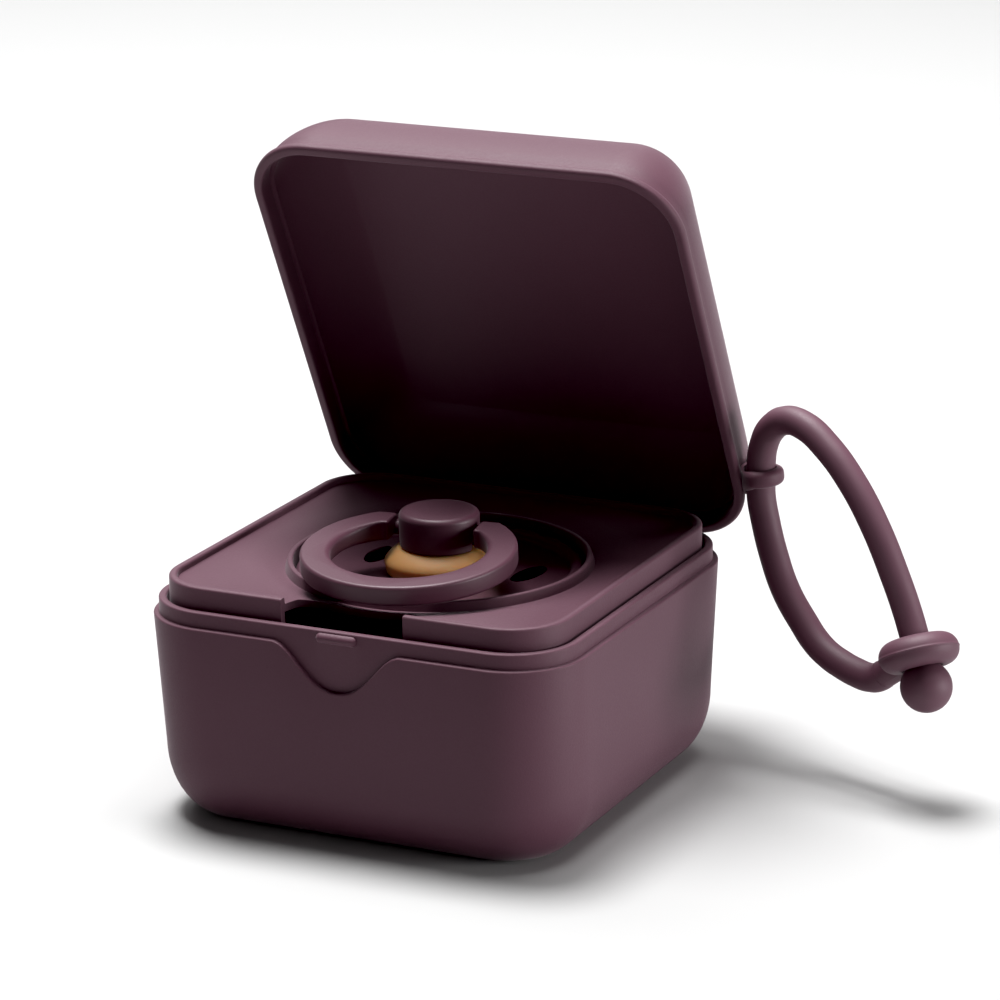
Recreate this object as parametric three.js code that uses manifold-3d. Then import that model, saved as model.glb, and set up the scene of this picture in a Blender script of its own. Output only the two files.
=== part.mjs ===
// Pacifier box: a square tub with a hinged lid, a lift-out tray that holds one round pacifier,
// and a silicone strap that loops through an ear on the lid.
// Millimetres, +Z up, X from left to right, -Y is the front. The origin is the centre of the underside.
// The lid is drawn shut and then turned open about the hinge, as it stands in use.

import * as THREE from 'three';
import { mergeVertices } from 'three/addons/utils/BufferGeometryUtils.js';
import Module from 'manifold-3d';

const wasm = await Module();
wasm.setup();

// Tub: outside form, its draft and the large soft edge round the underside
const tubHalf = 34;
const tubCorner = 11.1;
const tubHeight = 31;
const tubDraftShare = 0.022;
const footRoundIn = 7.4;
const footRoundUp = 10.8;
const footCornerGrowth = 1.7;
const tubWall = 2;
const tubFloor = 2;
const shoulderRound = 0.3;

// Neck that the lid closes over, set back from the tub's outside
const neckSetback = 0.8;
const neckHeight = 2.3;
const neckRound = 0.25;

// Finger scoop in the front, and the snap bead on the neck behind it
const scoopHalfWidth = 10.2;
const scoopDepth = 6.65;
const scoopPowerShare = 1.25;
const snapHalfLength = 3.3;
const snapHeight = 1.6;
const snapProud = 0.7;
const snapDrop = 0.3;
const snapClearance = 0.25;

// Ribs inside the tub that the tray stands on
const ribThickness = 1.4;
const ribDepth = 1.6;
const ribSpread = 15;
const ribSink = 0.3;

// Tray: skirt, rim, dished deck, collar, seat and the finger notch in its front
const trayGap = 0.4;
const trayWall = 1.2;
const trayRise = 5.5;
const trayDrop = 6;
const trayRimRound = 0.35;
const deckDrop = 1;
const deckSheet = 1.2;
const dishReachShare = 0.707;
const dishDrop = 1.5;
const collarRadius = 22.9;
const collarFootDrop = 2.7;
const collarHeight = 1.4;
const collarDraft = 0.4;
const collarWall = 0.8;
const seatDrop = 5.9;
const seatHoleRadius = 15.5;
const notchHalfWidth = 9.7;
const notchRound = 3;
const notchLipShare = 0.333;
const notchFloorDrop = 8.5;

// Lid: outside form, bead round its rim, rebate that drops over the neck
const lidOverhang = 1;
const lidCornerTighter = 0.4;
const lidHeight = 15.3;
const lidBead = 0.75;
const lidBeadHeight = 1.5;
const lidBeadRound = 0.45;
const lidWall = 1.5;
const lidCrownWall = 1.6;
const crownRoundIn = 6.5;
const crownRoundUp = 12;
const crownCornerShare = 0.7;
const crownPowerShare = 1.5;
const rebateClearance = 0.25;
const rebateHeight = 2.9;
const lidSeatGap = 0.3;

// Hinge: knuckles at the rear, and the pin through them
const hingeBehind = 1.5;
const hingeBelow = 1.3;
const knuckleRadius = 2.2;
const lidKnuckleLength = 14;
const tubKnuckleLength = 7;
const knuckleGap = 0.35;
const knuckleRelief = 0.3;
const pinRadius = 0.8;
const pinClearance = 0.3;
const gussetDrop = 7;
const openAngle = THREE.MathUtils.degToRad(63.4);

// Ear on the lid's right side that the strap runs through
const earOut = 2.75;
const earForward = 12.2;
const earUp = 1.6;
const earWall = 1.15;
const earHeight = 2.1;
const earRootHalf = 4.8;
const earEdge = 0.7;

// Strap: round silicone cord, the button it passes through, and the ball on its end
const strapRadius = 2.2;
const strapClearance = 0.3;
const buttonRadius = 6;
const buttonHalfHeight = 2.35;
const buttonSeatGap = 0.3;
const ballRadius = 3.85;
const ballBelow = 5.05;
const ballNeckTop = 0.3;
const cordFaceGap = 0.3;

// Pacifier: shield, nipple, knob and ring
const shieldClearance = 0.35;
const shieldLift = 0.3;
const shieldRimHeight = 3.1;
const shieldRimWidth = 1.9;
const shieldFaceDrop = 1.5;
const shieldHole = 5.2;
const ventLength = 7.3;
const ventWidth = 3.4;
const ventReach = 12.4;
const ventBack = 4.3;
const ventLean = THREE.MathUtils.degToRad(83);
const partGap = 0.3;
const flangeRadius = 8.25;
const flangeHeight = 3.6;
const domeHeight = 1.4;
const domeWidth = 2.05;
const nippleNeck = 4.6;
const nippleBulb = 8.2;
const nippleLength = 24.5;
const nippleWall = 1.5;
const innerFlangeRadius = 7.2;
const innerFlangeHeight = 1.4;
const knobRadius = 6;
const knobHeight = 5.5;
const knobRound = 0.9;
const knobDish = 0.35;
const knobCore = 4.4;
const stemRadius = 2.6;
const stemLength = 12;
const ringInner = 11.4;
const ringOuter = 15.85;
const ringThickness = 3;
const ringInnerRound = 0.9;
const ringOuterRound = 0.5;
const ringReach = 12.2;
const ringOffset = 0.65;
const ringTilt = THREE.MathUtils.degToRad(4.3);
const ringTurn = THREE.MathUtils.degToRad(5);
const ringPivotDrop = 3.3;
const ringBackEdge = 0.3;
const ringBarDepth = 3.95;
const ringSplit = 6.7;
const eyeRadius = 1.15;
const eyeRootLength = 0.9;
const axleRadius = 0.8;
const axleReach = 1.2;

// Fineness of curves, as counts
const cornerSteps = 6;
const sideSteps = 5;
const roundSteps = 5;
const turnSteps = 40;
const smallTurnSteps = 24;
const overrun = 1;
const weld = 1e-5;

// Route of the strap's cord, from the button's side through the ear and down into the button's bore
const strapRoute = [
  [61.8, 22.1, 18.0], [60.9, 22.4, 17.3], [59.2, 23.0, 16.8], [56.6, 24.1, 16.9],
  [54.0, 25.2, 17.4], [51.2, 26.4, 18.3], [48.7, 27.5, 19.8], [46.6, 28.5, 21.8],
  [42.9, 30.2, 26.1], [40.4, 31.4, 31.1], [38.7, 32.3, 35.9], [37.8, 32.7, 39.9],
  [37.8, 32.7, 42.5], [37.8, 32.7, 44.9], [38.3, 32.4, 47.7], [39.8, 31.8, 50.6],
  [42.4, 30.9, 52.4], [46.0, 29.5, 52.3], [50.3, 27.7, 50.0], [55.0, 25.7, 45.8],
  [59.3, 23.9, 40.2], [63.0, 22.6, 33.4], [65.5, 21.7, 28.0], [66.7, 20.9, 25.4],
  [67.82, 19.97, 23.24],
];
const buttonPlace = new THREE.Vector3(68.0, 19.8, 22.8);
const buttonAxis = new THREE.Vector3(0.36, -0.33, -0.87).normalize();
const stubRoot = new THREE.Vector3(65.2, 21.1, 21.1);

// Places worked out from the sizes above
const shoulder = tubHeight;
const neckHalf = tubHalf - neckSetback;
const neckCorner = tubCorner - neckSetback;
const boreHalf = tubHalf - tubWall;
const boreCorner = tubCorner - tubWall;
const trayHalf = boreHalf - trayGap;
const trayCorner = boreCorner - trayGap;
const trayTop = shoulder + trayRise;
const trayFoot = shoulder - trayDrop;
const deckEdge = trayTop - deckDrop;
const dishLevel = trayTop - dishDrop;
const collarFoot = trayTop - collarFootDrop;
const seatLevel = trayTop - seatDrop;
const collarInner = collarRadius - collarDraft - collarWall;
const dishRadius = collarRadius + (trayHalf - trayWall - collarRadius) * dishReachShare;
const notchArc = collarRadius + (trayHalf - trayWall - collarRadius) * notchLipShare;
const lidHalf = tubHalf + lidOverhang;
const lidCorner = tubCorner - lidCornerTighter;
const hinge = new THREE.Vector3(0, tubHalf + hingeBehind, shoulder - hingeBelow);
const lidRim = shoulder + lidSeatGap;
const earPlace = new THREE.Vector3(lidHalf + earOut, lidHalf - earForward, lidRim + earUp);
const earBore = strapRadius + strapClearance;
const shieldRadius = collarInner - shieldClearance;
const shieldFoot = seatLevel + shieldLift;
const shieldTop = shieldFoot + shieldRimHeight;
const shieldFace = shieldTop - shieldFaceDrop;
const flangeFoot = shieldFace + partGap;
const flangeTop = flangeFoot + flangeHeight;
const knobFoot = flangeTop + partGap;
const knobTop = knobFoot + knobHeight;
const ringPivot = knobTop - ringPivotDrop;

// Solids for joining and cutting, made from closed geometries and turned back again
function toSolid(geometry) {
  const bare = geometry.clone();
  bare.deleteAttribute('normal');
  bare.deleteAttribute('uv');
  const merged = mergeVertices(bare, weld);
  const index = merged.index.array;
  const kept = [];
  for (let i = 0; i < index.length; i += 3) {
    const [a, b, c] = [index[i], index[i + 1], index[i + 2]];
    if (a !== b && b !== c && c !== a) kept.push(a, b, c);
  }
  return new wasm.Manifold(new wasm.Mesh({
    numProp: 3,
    vertProperties: new Float32Array(merged.attributes.position.array),
    triVerts: new Uint32Array(kept),
  }));
}

function toGeometry(solid) {
  const mesh = solid.getMesh();
  const geometry = new THREE.BufferGeometry();
  const places = new Float32Array(mesh.numVert * 3);
  for (let i = 0; i < mesh.numVert; i += 1) {
    for (let k = 0; k < 3; k += 1) places[3 * i + k] = mesh.vertProperties[mesh.numProp * i + k];
  }
  geometry.setAttribute('position', new THREE.BufferAttribute(places, 3));
  geometry.setIndex(Array.from(mesh.triVerts));
  geometry.computeVertexNormals();
  return geometry;
}

// A rounded square read by bearing, so that rings of squares and circles share their points
function squareReach(cos, sin, half, corner) {
  const c = Math.max(Math.abs(cos), Math.abs(sin));
  const s = Math.min(Math.abs(cos), Math.abs(sin));
  const core = half - corner;
  const flat = half / c;
  if (flat * s <= core) return flat;
  const along = core * (c + s);
  return along + Math.sqrt(along * along - 2 * core * core + corner * corner);
}

function ringBearings() {
  const bearings = [];
  const core = tubHalf - tubCorner;
  const flatEnd = Math.atan2(core, tubHalf);
  for (let side = 0; side < 4; side += 1) {
    const middle = side * Math.PI / 2;
    for (let i = 0; i <= sideSteps; i += 1) {
      bearings.push(middle + flatEnd * (2 * i / sideSteps - 1));
    }
    for (let i = 1; i < cornerSteps; i += 1) {
      const turn = Math.PI / 2 * i / cornerSteps;
      const x = core + tubCorner * Math.cos(turn);
      const y = core + tubCorner * Math.sin(turn);
      bearings.push(middle + Math.atan2(y, x));
    }
  }
  return bearings;
}

const bearings = ringBearings();

function squareRing(half, corner, z) {
  return bearings.map((t) => {
    const reach = squareReach(Math.cos(t), Math.sin(t), half, corner);
    return new THREE.Vector3(reach * Math.cos(t), reach * Math.sin(t), z);
  });
}

function circleRing(radius, z) {
  return bearings.map((t) => new THREE.Vector3(radius * Math.cos(t), radius * Math.sin(t), z));
}

// Skin over rings: closed by a fan at each end, or joined end to end
function loft(rings, joined) {
  const count = rings[0].length;
  const places = rings.flat().flatMap((p) => [p.x, p.y, p.z]);
  const index = [];
  const spans = joined ? rings.length : rings.length - 1;
  for (let r = 0; r < spans; r += 1) {
    const low = r * count;
    const high = ((r + 1) % rings.length) * count;
    for (let i = 0; i < count; i += 1) {
      const j = (i + 1) % count;
      index.push(low + i, low + j, high + j, low + i, high + j, high + i);
    }
  }
  if (!joined) {
    const first = places.length / 3;
    places.push(0, 0, rings[0][0].z);
    places.push(0, 0, rings[rings.length - 1][0].z);
    const last = (rings.length - 1) * count;
    for (let i = 0; i < count; i += 1) {
      const j = (i + 1) % count;
      index.push(first, j, i);
      index.push(first + 1, last + i, last + j);
    }
  }
  const geometry = new THREE.BufferGeometry();
  geometry.setAttribute('position', new THREE.Float32BufferAttribute(places, 3));
  geometry.setIndex(index);
  geometry.computeVertexNormals();
  return geometry;
}

function box(x0, x1, y0, y1, z0, z1) {
  const geometry = new THREE.BoxGeometry(x1 - x0, y1 - y0, z1 - z0);
  geometry.translate((x0 + x1) / 2, (y0 + y1) / 2, (z0 + z1) / 2);
  return toSolid(geometry);
}

// A cylinder that lies along X between two places
function rod(radius, x0, x1, y, z, steps = smallTurnSteps) {
  const geometry = new THREE.CylinderGeometry(radius, radius, x1 - x0, steps);
  geometry.rotateZ(-Math.PI / 2);
  geometry.translate((x0 + x1) / 2, y, z);
  return toSolid(geometry);
}

// A solid of revolution about Z from pairs of radius and height, from bottom to top outside
function turned(profile, steps = turnSteps) {
  const geometry = new THREE.LatheGeometry(profile.map(([r, z]) => new THREE.Vector2(r, z)), steps);
  geometry.rotateX(Math.PI / 2);
  return geometry;
}

// Points of a quarter round from one direction to another about a centre
function arc(centreR, centreZ, radius, from, to, steps = 4) {
  const points = [];
  for (let i = 0; i <= steps; i += 1) {
    const t = THREE.MathUtils.degToRad(from + (to - from) * i / steps);
    points.push([centreR + radius * Math.cos(t), centreZ + radius * Math.sin(t)]);
  }
  return points;
}

// Outside half width of the tub at a height, above the soft foot edge
function tubSide(z) {
  return tubHalf - tubDraftShare * (shoulder - z);
}

function footRings(inset, floor) {
  const rings = [];
  const side = tubSide(footRoundUp) - inset;
  const corner = tubCorner + footCornerGrowth - inset;
  for (let i = 0; i <= roundSteps; i += 1) {
    const turn = Math.PI / 2 * (1 - i / roundSteps);
    const drawnIn = (footRoundIn - inset / 2) * (1 - Math.cos(turn));
    const z = footRoundUp - (footRoundUp - floor) * Math.sin(turn);
    rings.push(squareRing(side - drawnIn, corner - drawnIn, z));
  }
  return rings;
}

// Knuckle with a gusset that runs down into the wall it grows from
function tubKnuckle(x0, x1) {
  const shape = new THREE.Shape();
  const wallIn = tubHalf - tubWall / 2;
  shape.moveTo(wallIn, hinge.z + knuckleRadius / 2);
  shape.lineTo(hinge.y, hinge.z + knuckleRadius / 2);
  shape.lineTo(hinge.y + knuckleRadius * Math.SQRT1_2, hinge.z - knuckleRadius * Math.SQRT1_2);
  shape.lineTo(wallIn, hinge.z - gussetDrop);
  const geometry = new THREE.ExtrudeGeometry(shape, { depth: x1 - x0, bevelEnabled: false });
  geometry.applyMatrix4(new THREE.Matrix4().makeBasis(
    new THREE.Vector3(0, 1, 0), new THREE.Vector3(0, 0, 1), new THREE.Vector3(1, 0, 0)));
  geometry.translate(x0, 0, 0);
  return toSolid(geometry).add(rod(knuckleRadius, x0, x1, hinge.y, hinge.z));
}

// Edges of the hinge's knuckles along X: the lid's in the middle, the tub's on both sides
const lidKnuckleEnd = lidKnuckleLength / 2;
const tubKnuckleStart = lidKnuckleEnd + knuckleGap;
const tubKnuckleEnd = tubKnuckleStart + tubKnuckleLength;

// The snap bead as a capsule, or grown by a clearance as the tool for its pocket
function snapBead(clearance) {
  const radius = snapHeight / 2 + clearance;
  const bead = new THREE.CapsuleGeometry(radius, 2 * snapHalfLength - snapHeight, 4, 12);
  bead.rotateZ(Math.PI / 2);
  bead.scale(1, (snapProud + neckRound + clearance) / radius, 1);
  bead.translate(0, -neckHalf + neckRound, shoulder + neckHeight - snapDrop - snapHeight / 2);
  return toSolid(bead);
}

function makeTub() {
  const outside = [
    ...footRings(0, 0),
    squareRing(tubSide(shoulder - shoulderRound), tubCorner, shoulder - shoulderRound),
    squareRing(tubHalf - shoulderRound / 3, tubCorner - shoulderRound / 3, shoulder - shoulderRound / 5),
    squareRing(tubHalf - shoulderRound, tubCorner - shoulderRound, shoulder),
    squareRing(neckHalf, neckCorner, shoulder),
    squareRing(neckHalf, neckCorner, shoulder + neckHeight - neckRound),
    squareRing(neckHalf - neckRound, neckCorner - neckRound, shoulder + neckHeight),
    squareRing(boreHalf + neckRound, boreCorner + neckRound, shoulder + neckHeight),
    squareRing(boreHalf, boreCorner, shoulder + neckHeight - neckRound),
    squareRing(boreHalf, boreCorner, shoulder),
  ];
  const inside = footRings(tubWall, tubFloor).reverse();
  let tub = toSolid(loft([...outside, ...inside], false));

  // finger scoop: a soft cosine dip with a broad bottom, cut back to the face of the neck
  const dip = new THREE.Shape();
  dip.moveTo(-scoopHalfWidth, shoulder + overrun);
  const dipSteps = 20;
  for (let i = 0; i <= dipSteps; i += 1) {
    const share = 2 * i / dipSteps - 1;
    const turn = Math.PI * Math.abs(share) ** scoopPowerShare;
    dip.lineTo(scoopHalfWidth * share, shoulder - scoopDepth * (1 + Math.cos(turn)) / 2);
  }
  dip.lineTo(scoopHalfWidth, shoulder + overrun);
  const dipBlock = new THREE.ExtrudeGeometry(dip, { depth: neckSetback + overrun, bevelEnabled: false });
  dipBlock.rotateX(Math.PI / 2);
  dipBlock.translate(0, -neckHalf, 0);
  tub = tub.subtract(toSolid(dipBlock));

  // snap bead on the front of the neck
  tub = tub.add(snapBead(0));

  // ribs that the tray stands on, two on each wall
  for (let side = 0; side < 4; side += 1) {
    for (const along of [-ribSpread, ribSpread]) {
      const ribTop = trayFoot - partGap;
      const rib = new THREE.BoxGeometry(ribDepth + ribSink, ribThickness, ribTop - footRoundUp / 2);
      const face = tubSide(ribTop) - tubWall;
      rib.translate(face + ribSink - (ribDepth + ribSink) / 2, along, (ribTop + footRoundUp / 2) / 2);
      rib.rotateZ(side * Math.PI / 2);
      tub = tub.add(toSolid(rib));
    }
  }

  // hinge: two knuckles, a relief for the lid's knuckle, and the pin's bore
  for (const side of [-1, 1]) {
    const [x0, x1] = [side * tubKnuckleStart, side * tubKnuckleEnd].sort((a, b) => a - b);
    tub = tub.add(tubKnuckle(x0, x1));
  }
  const relief = knuckleRadius + knuckleRelief;
  tub = tub.subtract(rod(relief, -tubKnuckleStart, tubKnuckleStart, hinge.y, hinge.z));
  const bore = pinRadius + pinClearance;
  tub = tub.subtract(rod(bore, -tubKnuckleEnd - overrun, tubKnuckleEnd + overrun, hinge.y, hinge.z, 12));
  return toGeometry(tub);
}

// The lid's outside and inside as rings, drawn shut over the tub
function crownRings(side, corner, foot, up, roundIn) {
  const rings = [];
  const power = 2 / crownPowerShare;
  for (let i = 0; i <= roundSteps; i += 1) {
    const turn = Math.PI / 2 * i / roundSteps;
    const drawnIn = roundIn * (1 - Math.cos(turn) ** power);
    rings.push(squareRing(side - drawnIn, corner - drawnIn * crownCornerShare,
      foot + up * Math.sin(turn) ** power));
  }
  return rings;
}

function makeLid() {
  const side = lidHalf - lidBead;
  const corner = lidCorner - lidBead;
  const rebateHalf = neckHalf + rebateClearance;
  const rebateCorner = lidCorner - (lidHalf - rebateHalf);
  const straight = lidHeight - crownRoundUp;
  const outside = crownRings(side, corner, lidRim + straight, crownRoundUp, crownRoundIn).reverse();
  const inside = crownRings(side - lidWall, corner - lidWall, lidRim + straight,
    crownRoundUp - lidCrownWall, crownRoundIn);
  const rings = [
    ...outside,
    squareRing(side, corner, lidRim + lidBeadHeight),
    squareRing(lidHalf - lidBeadRound / 2, lidCorner, lidRim + lidBeadHeight - lidBeadRound / 2),
    squareRing(lidHalf, lidCorner, lidRim + lidBeadHeight / 2),
    squareRing(lidHalf - lidBeadRound / 3, lidCorner - lidBeadRound / 3, lidRim + lidBeadRound / 3),
    squareRing(lidHalf - lidBeadRound, lidCorner - lidBeadRound, lidRim),
    squareRing(rebateHalf + lidBeadRound / 2, rebateCorner + lidBeadRound / 2, lidRim),
    squareRing(rebateHalf, rebateCorner, lidRim + lidBeadRound / 2),
    squareRing(rebateHalf, rebateCorner, lidRim + rebateHeight),
    squareRing(side - lidWall, corner - lidWall, lidRim + rebateHeight),
    ...inside,
  ];
  let lid = toSolid(loft(rings.reverse(), false));

  // pocket inside the front rim that the snap bead springs into
  lid = lid.subtract(snapBead(snapClearance));

  // hinge: reliefs for the tub's knuckles, then the lid's own knuckle and its bore
  const relief = knuckleRadius + knuckleRelief;
  for (const way of [-1, 1]) {
    const ends = [way * lidKnuckleEnd, way * (tubKnuckleEnd + knuckleGap)].sort((a, b) => a - b);
    lid = lid.subtract(rod(relief, ends[0], ends[1], hinge.y, hinge.z));
  }
  const web = box(-lidKnuckleEnd, lidKnuckleEnd, lidHalf - lidWall / 2, hinge.y + knuckleRadius * 0.8,
    hinge.z + knuckleRadius / 3, lidRim + lidBeadHeight);
  const knuckle = rod(knuckleRadius, -lidKnuckleEnd, lidKnuckleEnd, hinge.y, hinge.z);
  lid = lid.add(web.add(knuckle));
  const bore = pinRadius + pinClearance;
  lid = lid.subtract(rod(bore, -lidKnuckleEnd - overrun, lidKnuckleEnd + overrun, hinge.y, hinge.z, 12));
  return toGeometry(lid.add(makeEar()).subtract(earHole()));
}

// The ear's bore stands upright when the lid stands open
function earMatrix() {
  const matrix = new THREE.Matrix4().makeRotationX(openAngle);
  return matrix.setPosition(earPlace);
}

function makeEar() {
  const outer = earBore + earWall;
  const root = -(earOut + lidBead / 2 + lidWall / 3);
  const outline = [];
  const headSteps = 12;
  for (let i = 0; i <= headSteps; i += 1) {
    const turn = Math.PI * (i / headSteps - 1 / 2);
    outline.push(new THREE.Vector2(outer * Math.cos(turn), outer * Math.sin(turn)));
  }
  const flareSteps = 4;
  for (let i = 1; i <= flareSteps; i += 1) {
    const share = i / flareSteps;
    outline.push(new THREE.Vector2(root * share, outer + (earRootHalf - outer) * share * share));
  }
  for (let i = flareSteps; i >= 1; i -= 1) {
    const share = i / flareSteps;
    outline.push(new THREE.Vector2(root * share, -outer - (earRootHalf - outer) * share * share));
  }
  const geometry = new THREE.ExtrudeGeometry(new THREE.Shape(outline), {
    depth: earHeight - 2 * earEdge,
    bevelThickness: earEdge,
    bevelSize: earEdge,
    bevelOffset: -earEdge,
    bevelSegments: 3,
  });
  geometry.translate(0, 0, -(earHeight / 2 - earEdge));
  geometry.applyMatrix4(earMatrix());
  return toSolid(geometry);
}

function earHole() {
  const geometry = new THREE.CylinderGeometry(earBore, earBore, earHeight + 2 * overrun, smallTurnSteps);
  geometry.rotateX(Math.PI / 2);
  geometry.applyMatrix4(earMatrix());
  return toSolid(geometry);
}

function makePin() {
  const half = tubKnuckleEnd;
  return toGeometry(rod(pinRadius, -half, half, hinge.y, hinge.z, 12));
}

// The notch from above: straight sides that round into an arc about the collar
function notchPlan() {
  const centreX = notchHalfWidth - notchRound;
  const centreY = -Math.sqrt((notchArc + notchRound) ** 2 - centreX ** 2);
  const meet = Math.atan2(centreX, -centreY);
  const steps = 5;
  const half = [new THREE.Vector2(notchHalfWidth, -trayHalf - overrun)];
  for (let i = 0; i <= steps; i += 1) {
    const turn = (Math.PI / 2 + meet) * i / steps;
    half.push(new THREE.Vector2(centreX + notchRound * Math.cos(turn), centreY + notchRound * Math.sin(turn)));
  }
  for (let i = 1; i <= steps; i += 1) {
    const turn = meet * (1 - i / steps);
    half.push(new THREE.Vector2(notchArc * Math.sin(turn), -notchArc * Math.cos(turn)));
  }
  const mirrored = half.slice(0, -1).reverse().map((p) => new THREE.Vector2(-p.x, p.y));
  return new THREE.Shape([...half, ...mirrored]);
}

function makeTray() {
  const inner = trayHalf - trayWall;
  const innerCorner = trayCorner - trayWall;
  const cup = collarRadius - collarDraft / 2;
  const r = trayRimRound;
  const rings = [
    squareRing(trayHalf - r / 3, trayCorner - r / 3, trayFoot),
    squareRing(trayHalf, trayCorner, shoulder),
    squareRing(trayHalf, trayCorner, trayTop - r),
    squareRing(trayHalf - r / 3, trayCorner - r / 3, trayTop - r / 3),
    squareRing(trayHalf - r, trayCorner - r, trayTop),
    squareRing(inner + r / 2, innerCorner + r / 2, trayTop),
    squareRing(inner, innerCorner, trayTop - r / 2),
    squareRing(inner - r / 3, innerCorner, deckEdge),
    circleRing(dishRadius, dishLevel),
    circleRing(collarRadius, collarFoot),
    circleRing(collarRadius - collarDraft, collarFoot + collarHeight - r / 2),
    circleRing(collarRadius - collarDraft - r / 2, collarFoot + collarHeight),
    circleRing(collarInner + r / 2, collarFoot + collarHeight),
    circleRing(collarInner, collarFoot + collarHeight - r / 2),
    circleRing(collarInner, seatLevel),
    circleRing(seatHoleRadius, seatLevel),
    circleRing(seatHoleRadius, seatLevel - deckSheet),
    circleRing(cup, seatLevel - deckSheet),
    circleRing(cup, collarFoot - deckSheet),
    circleRing(dishRadius, dishLevel - deckSheet),
    squareRing(inner, innerCorner, deckEdge - deckSheet),
    squareRing(inner - r / 3, innerCorner, trayFoot),
  ];
  let tray = toSolid(loft(rings, true));

  // finger notch in the front wall and deck, back to a curved lip round the collar
  const notch = new THREE.ExtrudeGeometry(notchPlan(), {
    depth: notchFloorDrop + overrun, bevelEnabled: false,
  });
  notch.translate(0, 0, trayTop - notchFloorDrop);
  return toGeometry(tray.subtract(toSolid(notch)));
}

function makeShield() {
  const rim = shieldRimWidth / 2;
  const faceEdge = shieldRadius - shieldRimWidth;
  const profile = [
    [shieldHole, shieldFoot],
    [shieldRadius - rim, shieldFoot],
    [shieldRadius, shieldFoot + rim / 2],
    ...arc(shieldRadius - rim, shieldTop - rim, rim, 0, 180, 5),
    [faceEdge, shieldFace + rim / 2],
    [faceEdge - rim / 2, shieldFace],
    [shieldHole, shieldFace],
    [shieldHole, shieldFoot],
  ];
  let shield = toSolid(turned(profile));
  const straight = ventLength - ventWidth;
  for (const side of [-1, 1]) {
    const vent = new THREE.CapsuleGeometry(ventWidth / 2, straight, 5, 16);
    vent.scale(1, 1, 2 * shieldRimHeight / ventWidth);
    vent.rotateZ(side * (ventLean - Math.PI / 2));
    vent.translate(side * ventReach, ventBack, (shieldFoot + shieldFace) / 2);
    shield = shield.subtract(toSolid(vent));
  }
  return toGeometry(shield);
}

function makeNipple() {
  const bottom = shieldFoot - nippleLength;
  const bulbZ = bottom + nippleBulb;
  const innerTop = shieldFoot - partGap;
  const innerLow = innerTop - innerFlangeHeight;
  const throat = stemRadius + partGap;
  const neck = shieldHole - partGap;
  const domeFoot = flangeTop - domeHeight;
  const dome = arc(0, 0, 1, 0, 90, 4).map(([across, rise]) => [
    flangeRadius - domeWidth * (1 - across), domeFoot + domeHeight * rise,
  ]);
  const bulbTop = THREE.MathUtils.radToDeg(Math.acos(nippleNeck / nippleBulb));
  const hollow = nippleBulb - nippleWall;
  const hollowTop = THREE.MathUtils.radToDeg(Math.acos(throat / hollow));
  const outside = [
    ...arc(0, bulbZ, nippleBulb, -90, bulbTop, 9),
    [nippleNeck, innerLow],
    [innerFlangeRadius, innerLow],
    [innerFlangeRadius, innerTop],
    [neck, innerTop],
    [neck, flangeFoot],
    [flangeRadius - partGap, flangeFoot],
    [flangeRadius, flangeFoot + partGap],
    ...dome,
    [throat, flangeTop],
    ...arc(0, bulbZ, hollow, hollowTop, -90, 7),
  ];
  outside[0] = [0, bottom];
  outside[outside.length - 1] = [0, bulbZ - hollow];
  return turned(outside, 26);
}

function makeKnob() {
  const r = knobRound;
  const profile = [
    [0, knobFoot - stemLength],
    [stemRadius, knobFoot - stemLength],
    [stemRadius, knobFoot],
    [knobRadius - r / 3, knobFoot],
    [knobRadius, knobFoot + r / 3],
    ...arc(knobRadius - r, knobTop - r, r, 0, 80, 4),
    [knobRadius - 2 * r, knobTop - knobDish / 3],
    [knobRadius / 2, knobTop - knobDish * 0.8],
    [0, knobTop - knobDish],
  ];
  let knob = toSolid(turned(profile, 30));
  const bay = eyeRadius + partGap;
  for (const side of [-1, 1]) {
    const ends = [side * knobCore, side * (knobRadius + overrun)].sort((a, b) => a - b);
    const arch = rod(bay, ends[0], ends[1], 0, ringPivot);
    const below = box(ends[0], ends[1], -bay, bay, knobFoot - overrun, ringPivot);
    const hole = [side * (knobCore - axleReach - partGap), side * (knobCore + partGap)].sort((a, b) => a - b);
    const socket = rod(axleRadius + partGap, hole[0], hole[1], 0, ringPivot, 12);
    knob = knob.subtract(arch).subtract(below).subtract(socket);
  }
  return toGeometry(knob);
}

// Half outline of the ring's outer edge, shared by the band and the bar across its back
function ringRim() {
  const half = ringThickness / 2;
  const r = ringOuterRound;
  return [
    ...arc(ringOuter - r, r - half, r, 270, 360, 2),
    ...arc(ringOuter - r, half - r, r, 0, 90, 2),
  ];
}

// Bar that flattens the ring's back, with a soft edge towards the hole
function ringBar() {
  const half = ringThickness / 2;
  const r = ringInnerRound;
  const front = ringBackEdge - ringBarDepth;
  const section = new THREE.Shape([
    [ringBackEdge, half],
    ...arc(front + r, half - r, r, 90, 180, 3),
    ...arc(front + r, r - half, r, 180, 270, 3),
    [ringBackEdge, -half],
  ].map(([y, z]) => new THREE.Vector2(y, z)));
  const bar = new THREE.ExtrudeGeometry(section, { depth: 2 * ringOuter, bevelEnabled: false });
  bar.applyMatrix4(new THREE.Matrix4().makeBasis(
    new THREE.Vector3(0, 1, 0), new THREE.Vector3(0, 0, 1), new THREE.Vector3(1, 0, 0)));
  bar.translate(-ringOuter, 0, ringOffset);
  return toSolid(bar);
}

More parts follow.
